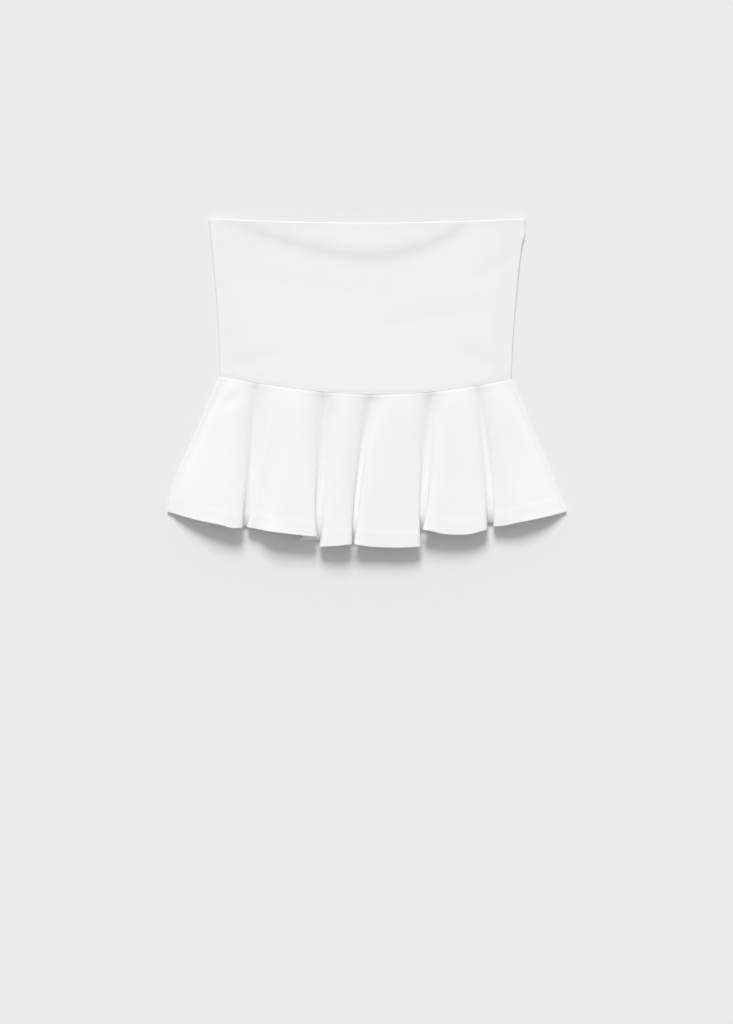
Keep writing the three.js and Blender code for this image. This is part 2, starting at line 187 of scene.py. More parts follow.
def cloth_wall(name, middle, thickness, cut):
    """A closed shell of cloth round a middle surface, with the flat cut kept as its UV map in metres.

    middle is columns by rows by 3, in mm. The first row lies on the waist seam and the outer columns on
    the side seams, so the wall is square to both there.
    """
    across, along = middle.shape[:2]
    normal = np.cross(np.gradient(middle, axis=0), np.gradient(middle, axis=1))
    normal[0, :, 2] = 0
    normal[-1, :, 2] = 0
    normal[:, 0, 1] = 0
    normal /= np.linalg.norm(normal, axis=2, keepdims=True)
    half = thickness[..., None] / 2
    skins = [middle + normal * half, middle - normal * half]
    points = np.concatenate([skin.reshape(-1, 3) for skin in skins])
    points[:, 2] = np.maximum(points[:, 2], 0)
    index = np.arange(2 * across * along).reshape(2, across, along)
    outer, inner = index

    def quads(a, b, c, d):
        return np.stack([a.ravel(), b.ravel(), c.ravel(), d.ravel()], axis=1)

    faces = np.concatenate([
        quads(outer[:-1, :-1], outer[1:, :-1], outer[1:, 1:], outer[:-1, 1:]),
        quads(inner[:-1, :-1], inner[:-1, 1:], inner[1:, 1:], inner[1:, :-1]),
        quads(outer[:-1, 0], inner[:-1, 0], inner[1:, 0], outer[1:, 0]),
        quads(outer[:-1, -1], outer[1:, -1], inner[1:, -1], inner[:-1, -1]),
        quads(outer[0, :-1], outer[0, 1:], inner[0, 1:], inner[0, :-1]),
        quads(outer[-1, :-1], inner[-1, :-1], inner[-1, 1:], outer[-1, 1:]),
    ])
    mesh = bpy.data.meshes.new(name)
    mesh.from_pydata((points * MM).tolist(), [], faces.tolist())
    uv = mesh.uv_layers.new(name="Cut")
    flat = np.tile(cut.reshape(-1, 2), (2, 1)) * MM
    uv.data.foreach_set("uv", flat[faces.ravel()].ravel())
    mesh.shade_smooth()
    piece = bpy.data.objects.new(name, mesh)
    bpy.context.scene.collection.objects.link(piece)
    return piece


def linear(hex_colour):
    """An sRGB hex colour as linear values with alpha."""
    parts = [int(hex_colour[i:i + 2], 16) / 255 for i in (0, 2, 4)]
    return (*[v / 12.92 if v <= 0.04045 else ((v + 0.055) / 1.055) ** 2.4 for v in parts], 1.0)


def add_node(tree, kind, settings=None, **sockets):
    """Adds a node with its settings. A socket gets a number or colour, or the output that feeds it."""
    node = tree.nodes.new(kind)
    for key, value in (settings or {}).items():
        setattr(node, key, value)
    for key, value in sockets.items():
        socket = node.inputs[int(key[1:])] if key[1:].isdigit() else node.inputs[key.replace("_", " ")]
        if isinstance(value, bpy.types.NodeSocket):
            tree.links.new(value, socket)
        else:
            socket.default_value = value
    return node


# White compact double knit of viscose, nylon and elastane, as it comes off the machine and is pressed flat.
# It gives a dense, matt, faintly soft-edged white with fine upright wales. The real wales are 0.8 mm apart,
# too fine to show, so they are drawn 1.6 mm apart.
WALE = 1.6
COURSE = 1.2
knit = bpy.data.materials.new("white_double_knit")
knit.use_nodes = True
tree = knit.node_tree
tree.nodes.clear()
cut_map = add_node(tree, "ShaderNodeUVMap", {"uv_map": "Cut"})
axes = add_node(tree, "ShaderNodeSeparateXYZ", i0=cut_map.outputs[0])
wales = add_node(tree, "ShaderNodeMath", {"operation": "MULTIPLY"}, i0=axes.outputs[0], i1=1 / (WALE * MM))
lean = add_node(tree, "ShaderNodeMath", {"operation": "PINGPONG"}, i0=wales.outputs[0], i1=0.5)
rows = add_node(tree, "ShaderNodeMath", {"operation": "MULTIPLY_ADD"},
                i0=axes.outputs[1], i1=1 / (COURSE * MM), i2=lean.outputs[0])
course_wave = add_node(tree, "ShaderNodeMath", {"operation": "PINGPONG"}, i0=rows.outputs[0], i1=0.5)
wale_round = add_node(tree, "ShaderNodeMath", {"operation": "POWER"}, i0=lean.outputs[0], i1=0.6)
loops = add_node(tree, "ShaderNodeMath", {"operation": "MULTIPLY_ADD"},
                 i0=course_wave.outputs[0], i1=0.45, i2=wale_round.outputs[0])
slub = add_node(tree, "ShaderNodeTexNoise", {"noise_dimensions": "2D"},
                Vector=cut_map.outputs[0], Scale=160.0, Detail=4.0, Roughness=0.6)
height = add_node(tree, "ShaderNodeMath", {"operation": "MULTIPLY_ADD"},
                  i0=slub.outputs[0], i1=0.8, i2=loops.outputs[0])
bump = add_node(tree, "ShaderNodeBump", Strength=0.5, Distance=0.00018, Height=height.outputs[0])
cloud = add_node(tree, "ShaderNodeTexNoise", {"noise_dimensions": "2D"},
                 Vector=cut_map.outputs[0], Scale=14.0, Detail=3.0, Roughness=0.5)
shade = add_node(tree, "ShaderNodeMix", {"data_type": "RGBA"},
                 i0=cloud.outputs[0], i6=linear("EEEEEE"), i7=linear("F1F1F1"))
cloth_shader = add_node(tree, "ShaderNodeBsdfPrincipled", Base_Color=shade.outputs[2],
                        Normal=bump.outputs[0], Roughness=0.92, Diffuse_Roughness=0.12)
cloth_shader.inputs["Specular IOR Level"].default_value = 0.1
cloth_shader.inputs["Sheen Weight"].default_value = 0.02
cloth_shader.inputs["Sheen Roughness"].default_value = 0.5
add_node(tree, "ShaderNodeOutputMaterial", Surface=cloth_shader.outputs[0])

bodice_columns = rolled_columns(np.linspace(0, 1, BODICE_COLUMNS))
bodice_rows = row_steps(**BODICE_ROWS)
x, s, seam_y, neck_y = bodice_plan(bodice_columns, bodice_rows[None, :])
t = np.broadcast_to(bodice_rows[None, :], x.shape)
y = mixed(seam_y - SEAM_TUCK, neck_y, t)
groove = SEAM_GROOVE["depth"] * (1 - smoothstep(y - seam_y, 0, SEAM_GROOVE["width"]))
flat_z = FRONT_Z + arch_height(s) * (1 - t) + billow(x, y, neck_y) - groove - side_fall(s)
flat_z += creases(FRONT_CREASES, x, y)
side_z = SIDE_Z - SEAM_TUCK
z = mixed(side_z, flat_z, bodice_columns["level"][:, None])
below_neck = (1 - t) * BODICE_DEPTH
turned_in = 1 - smoothstep(below_neck, NECK_TURN["from"], NECK_TURN["to"])
neck_thickness = CLOTH + NECK_TURN["extra"] * turned_in
edge_distance = np.minimum(below_neck, t * BODICE_DEPTH * SEAM_PRESS)
bodice_side_x, bodice_side_y = x, y
front_bodice = cloth_wall(
    "front_bodice_cloth", np.stack([x, y, z], axis=2), rounded_edge(edge_distance, neck_thickness),
    np.stack([x, y], axis=2))
front_bodice.data.materials.append(knit)
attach(front_bodice, "root")
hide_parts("front_bodice")

# Back bodice. The same panel for the back, of the same knit and on the same plan. It lies flat on the
# table, and its sides curl up to the side seams. Its neckline sits a little lower than the front's.
BACK_Z = CLOTH / 2
BACK_NECK_LOWER = 1.2
BACK_CREASES = [
    {"x0": -120, "y0": 150, "x1": 70, "y1": 120, "depth": 0.5, "width": 10, "fade": 60},
    {"x0": 20, "y0": 40, "x1": 130, "y1": 74, "depth": 0.4, "width": 12, "fade": 50},
    {"x0": -150, "y0": 22, "x1": -84, "y1": 56, "depth": 0.6, "width": 7, "fade": 26},
]
y = mixed(seam_y - SEAM_TUCK, neck_y - BACK_NECK_LOWER, t)
side_z = SIDE_Z + SEAM_TUCK
z = mixed(side_z, BACK_Z + creases(BACK_CREASES, x, y), bodice_columns["level"][:, None])
back_bodice = cloth_wall(
    "back_bodice_cloth", np.stack([x, y, z], axis=2), rounded_edge(edge_distance, np.full_like(x, CLOTH)),
    np.stack([x, y], axis=2))
back_bodice.data.materials.append(knit)
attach(back_bodice, "root")
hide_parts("back_bodice")

# Front flounce. A ring sector of the same knit, sewn to the front waist, that falls into soft flutes and
# is closed at its outer edge by a turned hem. The cloth between two flutes lies on the back, and one fold
# of it shows below the second flute.
RISE = {"quick": 0.07, "over": 9.0, "power": 0.8}
SEAM_RIDGE = {"height": 0.3, "full": 2.4, "end": 5.5}
FOOT_Z = 2.65
FOLD_RADIUS = 1.7
SHOULDER = {"left": 12.0, "right": 11.0}
SHOULDER_Z = {"left": 0.9, "right": 0.94}
FOLD_TURN = {"reach": 0.27, "wall": 0.62, "wall_out": 0.75}
FOLD_DROP = {
    "middle_x": 0.5, "middle_y": 0.4, "middle_z": 0.2, "round_y": 0.8, "round_z": 0.25, "foot_z": 0.9,
}
VALLEY_FILL = {"seam": -0.6, "climb": 1.25, "power": 12.0}
FOLD_SOFT = {"reach": 14, "power": 5.0}
SIDE_TROUGH = {"inset": 5.0, "width": 3.8, "depth": 0.95, "full_at": 0.2}
CREASE_RISE = {"from": 2.0, "full": 5.0}
SIDE_STRIP_Z = 2.9
HEM_CORNER = {"left": -235.4, "right": 235.5, "y": -152.4}
SIDE_BOW = {"left": 5.6, "right": 1.0, "power": 2.4, "fade": 60.0}
HEM_TURN = {"depth": 18.0, "extra": 0.35, "step": 0.7}
SECTOR = {"waist_radius": 203.0, "depth": 183.0, "degrees": 97.0}
FLOUNCE_ROWS = {"length": 172.0, "edge_start": 1.2, "edge_end": 1.2, "step": 2.4}
STATION_SOFT = 4
CORNER_STEPS = 6
CROWN_STEPS = 7
FOLD_STEPS = 4
# One entry for each valley between two flutes, from left to right, as it is at the hem. from_seam and
# to_seam bound its channel at the waist seam. left_x and right_x are the edges of the flutes beside it,
# with the hem's Y and the flute's height there, and how far the hem falls from there to the shoulder.
# The cloth between them lies on the back from foot_left to foot_right. A sweep is 1 for a straight
# edge, more for one that swings to its hem place early, and less for one that swings there late.
VALLEYS = [
    {"from_seam": -145.5, "to_seam": -121.0,
     "left_x": -146.4, "left_y": -171.2, "left_z": 19.0, "left_fall": 0.2, "left_sweep": 0.6,
     "foot_left": -151.0, "foot_right": -139.8, "foot_y": -168.6,
     "right_x": -141.6, "right_y": -170.2, "right_z": 13.0, "right_fall": 2.0, "right_sweep": 0.8},
    {"from_seam": -70.0, "to_seam": -40.0,
     "left_x": -58.6, "left_y": -181.4, "left_z": 20.5, "left_fall": -0.8, "left_sweep": 1.1,
     "foot_left": -78.5, "foot_right": -54.0, "foot_y": -185.2,
     "right_x": -56.0, "right_y": -193.6, "right_z": 17.0, "right_fall": -0.8, "right_sweep": 0.65},
    {"from_seam": -14.5, "to_seam": 16.0,
     "left_x": -17.4, "left_y": -190.4, "left_z": 19.0, "left_fall": 1.3, "left_sweep": 1.0,
     "foot_left": -22.5, "foot_right": -10.5, "foot_y": -187.0,
     "right_x": -15.6, "right_y": -190.4, "right_z": 18.2, "right_fall": 1.7, "right_sweep": 2.0},
    {"from_seam": 55.5, "to_seam": 85.5,
     "left_x": 63.2, "left_y": -193.2, "left_z": 16.4, "left_fall": 0.7, "left_sweep": 2.0,
     "foot_left": 57.0, "foot_right": 72.0, "foot_y": -172.5,
     "right_x": 64.9, "right_y": -173.4, "right_z": 19.8, "right_fall": 1.6, "right_sweep": 1.1},
    {"from_seam": 121.0, "to_seam": 137.0,
     "left_x": 141.2, "left_y": -173.0, "left_z": 16.4, "left_fall": 3.7, "left_sweep": 1.4,
     "foot_left": 140.5, "foot_right": 150.5, "foot_y": -164.5,
     "right_x": 148.8, "right_y": -169.5, "right_z": 13.0, "right_fall": -0.6, "right_sweep": 1.7},
]
# One list for each flute, with a row for each place along the hem that shapes its crown.
CROWNS = [
    [{"x": -201.8, "y": -161.5, "z": 13.4, "seam_x": -164.0},
     {"x": -170.0, "y": -168.2, "z": 19.5, "seam_x": -157.5}],
    [{"x": -112.1, "y": -175.6, "z": 21.0, "seam_x": -97.0},
     {"x": -80.0, "y": -179.5, "z": 21.0, "seam_x": -82.0}],
    [{"x": -37.0, "y": -192.6, "z": 18.5, "seam_x": -27.0}],
    [{"x": 3.0, "y": -193.3, "z": 16.8, "seam_x": 29.0},
     {"x": 38.0, "y": -194.4, "z": 16.8, "seam_x": 43.0}],
    [{"x": 90.0, "y": -178.3, "z": 18.6, "seam_x": 99.0},
     {"x": 118.0, "y": -178.9, "z": 17.4, "seam_x": 108.0}],
    [{"x": 174.0, "y": -165.8, "z": 15.6, "seam_x": 147.5},
     {"x": 206.1, "y": -159.3, "z": 12.5, "seam_x": 159.0}],
]
# Where the seven places of each fold meet the seam, as shares of the valley's channel there.
CHANNEL_SHARES = {
    "left": (-0.3, -0.05, 0.17, 0.33, 0.45, 0.53, 0.59),
    "right": (1.4, 1.22, 1.05, 0.9, 0.78, 0.71, 0.66),
}
FLOUNCE_CREASES = [
    {"x0": -146, "y0": -8, "x1": -176, "y1": -36, "depth": -0.7, "width": 7, "fade": 18},
    {"x0": -190, "y0": -34, "x1": -223, "y1": -124, "depth": -2.2, "width": 6, "fade": 30},
    {"x0": -108, "y0": -60, "x1": -120, "y1": -150, "depth": -0.5, "width": 9, "fade": 30},
    {"x0": 30, "y0": -60, "x1": 20, "y1": -170, "depth": 0.5, "width": 12, "fade": 40},
    {"x0": 104, "y0": -40, "x1": 112, "y1": -150, "depth": -0.5, "width": 8, "fade": 40},
    {"x0": 162, "y0": -50, "x1": 190, "y1": -140, "depth": -0.6, "width": 8, "fade": 30},
    {"x0": -114, "y0": -20, "x1": -126, "y1": -99, "depth": -0.5, "width": 3.2, "fade": 18},
    {"x0": -41, "y0": -20, "x1": -52, "y1": -126, "depth": -0.7, "width": 3.2, "fade": 20},
    {"x0": 83, "y0": -22, "x1": 69, "y1": -112, "depth": -0.8, "width": 3.2, "fade": 18},
    {"x0": 149, "y0": -66, "x1": 147, "y1": -126, "depth": -0.6, "width": 3.0, "fade": 18},
]


def catmull_rom(points, steps):
    """A smooth line through the points, with the given steps from each point to the next."""
    padded = np.vstack([2 * points[0] - points[1], points, 2 * points[-1] - points[-2]])
    line = []
    for i, count in enumerate(steps):
        p0, p1, p2, p3 = padded[i:i + 4]
        d0, d1, d2 = (np.linalg.norm(b - a) ** 0.5 for a, b in ((p0, p1), (p1, p2), (p2, p3)))
        start = ((p1 - p0) / d0 - (p2 - p0) / (d0 + d1) + (p2 - p1) / d1) * d1
        end = ((p2 - p1) / d1 - (p3 - p1) / (d1 + d2) + (p3 - p2) / d2) * d1
        for k in np.arange(count) / count:
            line.append(p1 + start * k + (3 * (p2 - p1) - 2 * start - end) * k ** 2
                        + (2 * (p1 - p2) + start + end) * k ** 3)
    return np.array([*line, points[-1]])


def softened(values, reach):
    """Values along a line, averaged with their neighbours so that no kink is left, with both ends kept."""
    kernel = np.hanning(2 * reach + 3)[1:-1]
    padded = np.pad(values, reach, mode="reflect", reflect_type="odd")
    return np.convolve(padded, kernel / kernel.sum(), mode="valid")


def fold_stations(valley, out, name, seams):
    """The fold at one side of a valley at the hem, from the flute's shoulder down to the valley's floor."""
    keys = ("x", "y", "z", "fall", "sweep")
    edge_x, edge_y, edge_z, fall, sweep = (valley[f"{name}_{key}"] for key in keys)
    foot = valley[f"foot_{name}"]
    foot_y = valley["foot_y"]
    middle_sweep = (valley["left_sweep"] + valley["right_sweep"]) / 2
    turn_x = edge_x + out * SHOULDER[name] * FOLD_TURN["reach"]
    wall_x = edge_x + out * FOLD_TURN["wall_out"]
    round_x = foot - out * FOLD_RADIUS / 2
    foot_top = FOOT_Z + FOLD_RADIUS * 2
    places = [
        (edge_x + out * SHOULDER[name], edge_y - fall, edge_z),
        (turn_x, edge_y - fall * FOLD_TURN["reach"], mixed(foot_top, edge_z, SHOULDER_Z[name])),
        (wall_x, edge_y, mixed(foot_top, edge_z, FOLD_TURN["wall"])),
        (mixed(wall_x, round_x, FOLD_DROP["middle_x"]), mixed(edge_y, foot_y, FOLD_DROP["middle_y"]),
         mixed(foot_top, edge_z, FOLD_DROP["middle_z"])),
        (round_x, mixed(edge_y, foot_y, FOLD_DROP["round_y"]),
         foot_top - FOLD_RADIUS * FOLD_DROP["round_z"]),
        (foot, foot_y, FOOT_Z + FOLD_RADIUS * FOLD_DROP["foot_z"]),
        (round_x, foot_y, FOOT_Z),
    ]
    last = len(places) - 1
    return [
        (*place, seams[i], mixed(sweep, middle_sweep, i / last), edge_z)
        for i, place in enumerate(places)
    ]


def valley_stations(valley):
    """Both folds of a valley. Toward the seam the fold opens out over its channel."""
    channel = valley["to_seam"] - valley["from_seam"]
    left = [valley["from_seam"] + channel * share for share in CHANNEL_SHARES["left"]]
    right = [valley["from_seam"] + channel * share for share in CHANNEL_SHARES["right"]]
    return fold_stations(valley, -1, "left", left) + fold_stations(valley, 1, "right", right)[::-1]


def corner_station(end, z):
    out = 1 if end == "right" else -1
    hem_x = HEM_CORNER[end] - out * (CLOTH / 2 + SIDE_ROLL)
    seam_x = WAIST_SHIFT + out * (WAIST_HALF - CLOTH / 2 - SIDE_ROLL)
    return (hem_x, HEM_CORNER["y"], z, seam_x, 1.0, z)


def side_bow(hem_x, t):
    """Sideways bow of the flounce's side edges, which fades toward the middle."""
    left = SIDE_BOW["left"] * (1 - smoothstep(hem_x - HEM_CORNER["left"], 0, SIDE_BOW["fade"]))
    right = SIDE_BOW["right"] * (1 - smoothstep(HEM_CORNER["right"] - hem_x, 0, SIDE_BOW["fade"]))
    return (right - left) * np.sin(math.pi * t ** SIDE_BOW["power"])


def flounce_panel(name, stations, steps, rows, seam_z, edge_z, lowest_z, ridge, arched, crease_rows):
    """A flounce panel from its hem's stations and its rows from seam to hem.

    A station holds X, Y, Z, its X at the seam, its sweep and the height of the flute that it belongs to.
    """
    stations = np.array(stations)
    hem = catmull_rom(stations[:, :3], steps)
    hem[:, 2] = np.maximum(hem[:, 2], lowest_z)
    soft = np.stack([softened(np.maximum.accumulate(hem[:, 0]), FOLD_SOFT["reach"]),
                     softened(hem[:, 2], FOLD_SOFT["reach"])], axis=1)
    place = np.concatenate([i + np.arange(n) / n for i, n in enumerate(steps)] + [[len(steps)]])
    stepped = [np.interp(place, np.arange(len(stations)), stations[:, i]) for i in (3, 4, 5)]
    seam_x, sweep, crest = (softened(values, STATION_SOFT) for values in stepped)
    columns = rolled_columns(np.zeros(len(hem)))
    side, inset, level = (columns[key] for key in ("side", "inset", "level"))
    flat_ends = [np.tile(hem[end], (ROLL_COLUMNS, 1)) for end in (0, -1)]
    hem = np.vstack([flat_ends[0], hem, flat_ends[1]])
    soft = np.vstack([flat_ends[0][:, ::2], soft, flat_ends[1][:, ::2]])
    seam_x = np.pad(seam_x, ROLL_COLUMNS)
    sweep = np.pad(sweep, ROLL_COLUMNS, constant_values=1)
    crest = np.pad(crest, ROLL_COLUMNS, mode="edge")
    for out, end in ((-1, "left"), (1, "right")):
        rolled = side == out
        hem[rolled, 0] = HEM_CORNER[end] - out * (CLOTH / 2 + inset[rolled])
        soft[rolled, 0] = hem[rolled, 0]
        seam_x[rolled] = WAIST_SHIFT + out * (WAIST_HALF - CLOTH / 2 - inset[rolled])
    s = np.clip((seam_x - WAIST_SHIFT) / (WAIST_HALF - CLOTH / 2), -1, 1)
    seam_y = dipped_edge(WAIST, s) + SEAM_TUCK
    t = rows[None, :]
    below = (seam_y - hem[:, 1])[:, None] * t
    quick = RISE["quick"] * (1 - np.exp(-below / RISE["over"]))
    rise = quick + (1 - RISE["quick"]) * t ** RISE["power"]
    ridge_end = 1 - smoothstep(below, SEAM_RIDGE["full"], SEAM_RIDGE["end"])
    ridge_up = smoothstep(below, 0, SEAM_RIDGE["full"]) * ridge_end
    crisp = t ** FOLD_SOFT["power"]
    fold_x = mixed(soft[:, :1], hem[:, :1], crisp)
    fold_z = mixed(soft[:, 1:], hem[:, 2:], crisp)
    x = mixed(seam_x[:, None], fold_x, 1 - (1 - t) ** sweep[:, None]) + side_bow(hem[:, :1], t)
    y = mixed(seam_y[:, None], hem[:, 1:2], t)
    top_z = (seam_z + arched * (arch_height(s) - side_fall(s)))[:, None]
    filled = (VALLEY_FILL["seam"] + VALLEY_FILL["climb"] * t) * (1 - t ** VALLEY_FILL["power"])
    flat_z = mixed(top_z, mixed(fold_z, crest[:, None], filled), rise) + ridge * ridge_up
    from_side = np.minimum(x - x[0], x[-1] - x)
    trough = np.exp(-(((from_side - SIDE_TROUGH["inset"]) / SIDE_TROUGH["width"]) ** 2))
    flat_z = flat_z - arched * SIDE_TROUGH["depth"] * trough * smoothstep(t, 0, SIDE_TROUGH["full_at"])
    raised = smoothstep(flat_z, lowest_z + CREASE_RISE["from"], lowest_z + CREASE_RISE["full"])
    flat_z = flat_z + creases(crease_rows, x, y) * raised
    z = mixed(edge_z, flat_z, level[:, None])
    middle = np.stack([x, y, z], axis=2)
    from_hem = (seam_y - hem[:, 1])[:, None] * (1 - t)
    turned_up = 1 - smoothstep(from_hem, HEM_TURN["depth"] - HEM_TURN["step"], HEM_TURN["depth"])
    thickness = CLOTH + HEM_TURN["extra"] * turned_up
    thickness = rounded_edge(np.minimum(below * SEAM_PRESS, from_hem), thickness)
    run = np.linalg.norm(np.diff(middle, axis=0), axis=2)
    arc = np.vstack([np.zeros((1, run.shape[1])), np.cumsum(run, axis=0)])
    turn = (arc[:, -1:] / arc[-1, -1] - 0.5) * math.radians(SECTOR["degrees"])
    radius = SECTOR["waist_radius"] + SECTOR["depth"] * t
    cut = np.stack([radius * np.sin(turn), -radius * np.cos(turn)], axis=2)
    order = slice(None, None, -1)
    return cloth_wall(name, middle[order], thickness[order], cut[order]), middle


front_stations = [corner_station("left", SIDE_STRIP_Z)]
front_steps = [CORNER_STEPS]
for i, crown in enumerate(CROWNS):
    front_stations += [(c["x"], c["y"], c["z"], c["seam_x"], 1.0, c["z"]) for c in crown]
    front_steps += [CROWN_STEPS] * len(crown)
    if i < len(VALLEYS):
        places = valley_stations(VALLEYS[i])
        front_stations += places
        front_steps += [FOLD_STEPS] * (len(places) - 1) + [CROWN_STEPS]
front_stations.append(corner_station("right", SIDE_STRIP_Z))
flounce_rows = row_steps(**FLOUNCE_ROWS)
front_flounce, front_middle = flounce_panel(
    "front_flounce_cloth", front_stations, front_steps, flounce_rows, FRONT_Z - SEAM_GROOVE["flounce"],
    SIDE_Z - SEAM_TUCK, FOOT_Z, SEAM_RIDGE["height"], 1, FLOUNCE_CREASES)
front_flounce.data.materials.append(knit)
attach(front_flounce, "root")
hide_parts(*(f"front_flounce_{i + 1}" for i in range(6)))

# Back flounce. The same ring sector for the back. It lies on the table, with its spare width standing up
# in soft pleats that lean over inside the front's flutes.
BACK_PLEATS = [
    {"x": -186.0, "seam_x": -154.0, "height": 5.5, "lean": 2.5},
    {"x": -100.0, "seam_x": -90.0, "height": 8.0, "lean": 4.0},
    {"x": -36.0, "seam_x": -28.0, "height": 9.0, "lean": -2.5},
    {"x": 26.0, "seam_x": 36.0, "height": 9.0, "lean": 4.0},
    {"x": 104.0, "seam_x": 102.0, "height": 8.5, "lean": -4.0},
    {"x": 190.0, "seam_x": 152.0, "height": 5.5, "lean": -2.5},
]
PLEAT = {"foot": 8.0, "neck": 2.4, "bulge": 2.9, "seam_half": 6.0}
PLEAT_STEPS = 3
BETWEEN_PLEATS_STEPS = 8
BACK_HEM = {"sag": 23.5, "power": 1.5}


def pleat_stations(pleat):
    """Places that shape one pleat of the back at the hem."""
    from_middle = abs(pleat["x"] / HEM_CORNER["right"])
    hem_y = HEM_CORNER["y"] - BACK_HEM["sag"] * (1 - from_middle ** BACK_HEM["power"])
    half = [
        (PLEAT["foot"], 0.0, 0.0, 1.0),
        (PLEAT["neck"] * 1.6, 0.15, 0.0, 0.8),
        (PLEAT["neck"], pleat["height"] * 0.2, 0.1, 0.6),
        (PLEAT["bulge"], pleat["height"] * 0.5, 0.45, 0.4),
        (PLEAT["bulge"], pleat["height"] * 0.82, 0.9, 0.2),
    ]
    left = [(-out, up, lean, -seam) for out, up, lean, seam in half]
    shape = left + [(0.0, pleat["height"], 1.0, 0.0)] + half[::-1]
    return [
        (pleat["x"] + out + pleat["lean"] * lean, hem_y, BACK_Z + up,
         pleat["seam_x"] + seam * PLEAT["seam_half"], 1.0, BACK_Z + up)
        for out, up, lean, seam in shape
    ]


back_stations = [corner_station("left", BACK_Z)]
back_steps = [BETWEEN_PLEATS_STEPS]
for pleat in BACK_PLEATS:
    places = pleat_stations(pleat)
    back_stations += places
    back_steps += [PLEAT_STEPS] * (len(places) - 1) + [BETWEEN_PLEATS_STEPS]
back_stations.append(corner_station("right", BACK_Z))
back_flounce, back_middle = flounce_panel(
    "back_flounce_cloth", back_stations, back_steps, flounce_rows, BACK_Z,
    SIDE_Z + SEAM_TUCK, BACK_Z, 0.0, 0, [])
back_flounce.data.materials.append(knit)
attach(back_flounce, "root")
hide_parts(*(f"back_flounce_{i + 1}" for i in range(6)))

# Waist seam thread. White polyester thread of the overlock seam that joins the bodice to the flounces. It
# shows as fine bars across the seam, all round the waist. It is 0.3 mm thick and drawn 0.4 mm thick.
STITCH_RANDOM = 7
WAIST_STITCH = {"pitch": 2.6, "length": 1.1, "thickness": 0.4, "unevenness": 0.2}
WAIST_STITCH_DEEP = 0.2
thread = bpy.data.materials.new("white_polyester_thread")
thread.use_nodes = True
tree = thread.node_tree
tree.nodes.clear()
place = add_node(tree, "ShaderNodeTexCoord")
twist = add_node(tree, "ShaderNodeTexNoise", Vector=place.outputs["Object"], Scale=2600.0, Detail=2.0)
twist_bump = add_node(tree, "ShaderNodeBump", Strength=0.4, Distance=0.00008, Height=twist.outputs[0])
thread_shade = add_node(tree, "ShaderNodeMix", {"data_type": "RGBA"},
                        i0=twist.outputs[0], i6=linear("E8E8E7"), i7=linear("F0F0F0"))
thread_shader = add_node(tree, "ShaderNodeBsdfPrincipled", Base_Color=thread_shade.outputs[2],
                         Normal=twist_bump.outputs[0], Roughness=0.6)
thread_shader.inputs["Sheen Weight"].default_value = 0.1
add_node(tree, "ShaderNodeOutputMaterial", Surface=thread_shader.outputs[0])

stitcher = bpy.data.node_groups.new("stitches_along_a_path", "GeometryNodeTree")
stitcher.interface.new_socket("Geometry", in_out="INPUT", socket_type="NodeSocketGeometry")
for name in ("Pitch", "Length", "Thickness", "Unevenness"):
    stitcher.interface.new_socket(name, in_out="INPUT", socket_type="NodeSocketFloat")
stitcher.interface.new_socket("Geometry", in_out="OUTPUT", socket_type="NodeSocketGeometry")
given = add_node(stitcher, "NodeGroupInput")
path = add_node(stitcher, "GeometryNodeMeshToCurve", Mesh=given.outputs["Geometry"])
spaced = add_node(stitcher, "GeometryNodeResampleCurve", {"mode": "LENGTH"},
                  Curve=path.outputs[0], Length=given.outputs["Pitch"])
lie = add_node(stitcher, "GeometryNodeInputNamedAttribute", {"data_type": "FLOAT_VECTOR"}, Name="lie")
turned = add_node(stitcher, "FunctionNodeAlignRotationToVector", {"axis": "X"}, Vector=lie.outputs[0])
least = add_node(stitcher, "ShaderNodeMath", {"operation": "SUBTRACT"},
                 i0=1.0, i1=given.outputs["Unevenness"])
vary = add_node(stitcher, "FunctionNodeRandomValue", {"data_type": "FLOAT"}, Seed=STITCH_RANDOM)
stitcher.links.new(least.outputs[0], vary.inputs[2])
vary.inputs[3].default_value = 1.0
long = add_node(stitcher, "ShaderNodeMath", {"operation": "MULTIPLY"},
                i0=given.outputs["Length"], i1=vary.outputs[1])
size = add_node(stitcher, "ShaderNodeCombineXYZ",
                X=long.outputs[0], Y=given.outputs["Thickness"], Z=given.outputs["Thickness"])
bead = add_node(stitcher, "GeometryNodeMeshUVSphere", Segments=6, Rings=4, Radius=0.5)
copies = add_node(stitcher, "GeometryNodeInstanceOnPoints", Points=spaced.outputs[0],
                  Instance=bead.outputs[0], Rotation=turned.outputs[0], Scale=size.outputs[0])
real = add_node(stitcher, "GeometryNodeRealizeInstances", Geometry=copies.outputs[0])
coated = add_node(stitcher, "GeometryNodeSetMaterial", Geometry=real.outputs[0], Material=thread)
add_node(stitcher, "NodeGroupOutput", Geometry=coated.outputs[0])


def surface_line(middle, rows, places, lift):
    """The line across a panel at the given place down each column, moved up from its middle by lift."""
    normal = np.cross(np.gradient(middle, axis=0), np.gradient(middle, axis=1))
    normal *= np.sign(np.median(normal[:, :, 2])) / np.linalg.norm(normal, axis=2, keepdims=True)
    raised = middle + normal * lift
    return np.array([
        [np.interp(places[i], rows, raised[i, :, axis]) for axis in range(3)]
        for i in range(ROLL_COLUMNS, len(middle) - ROLL_COLUMNS)
    ])


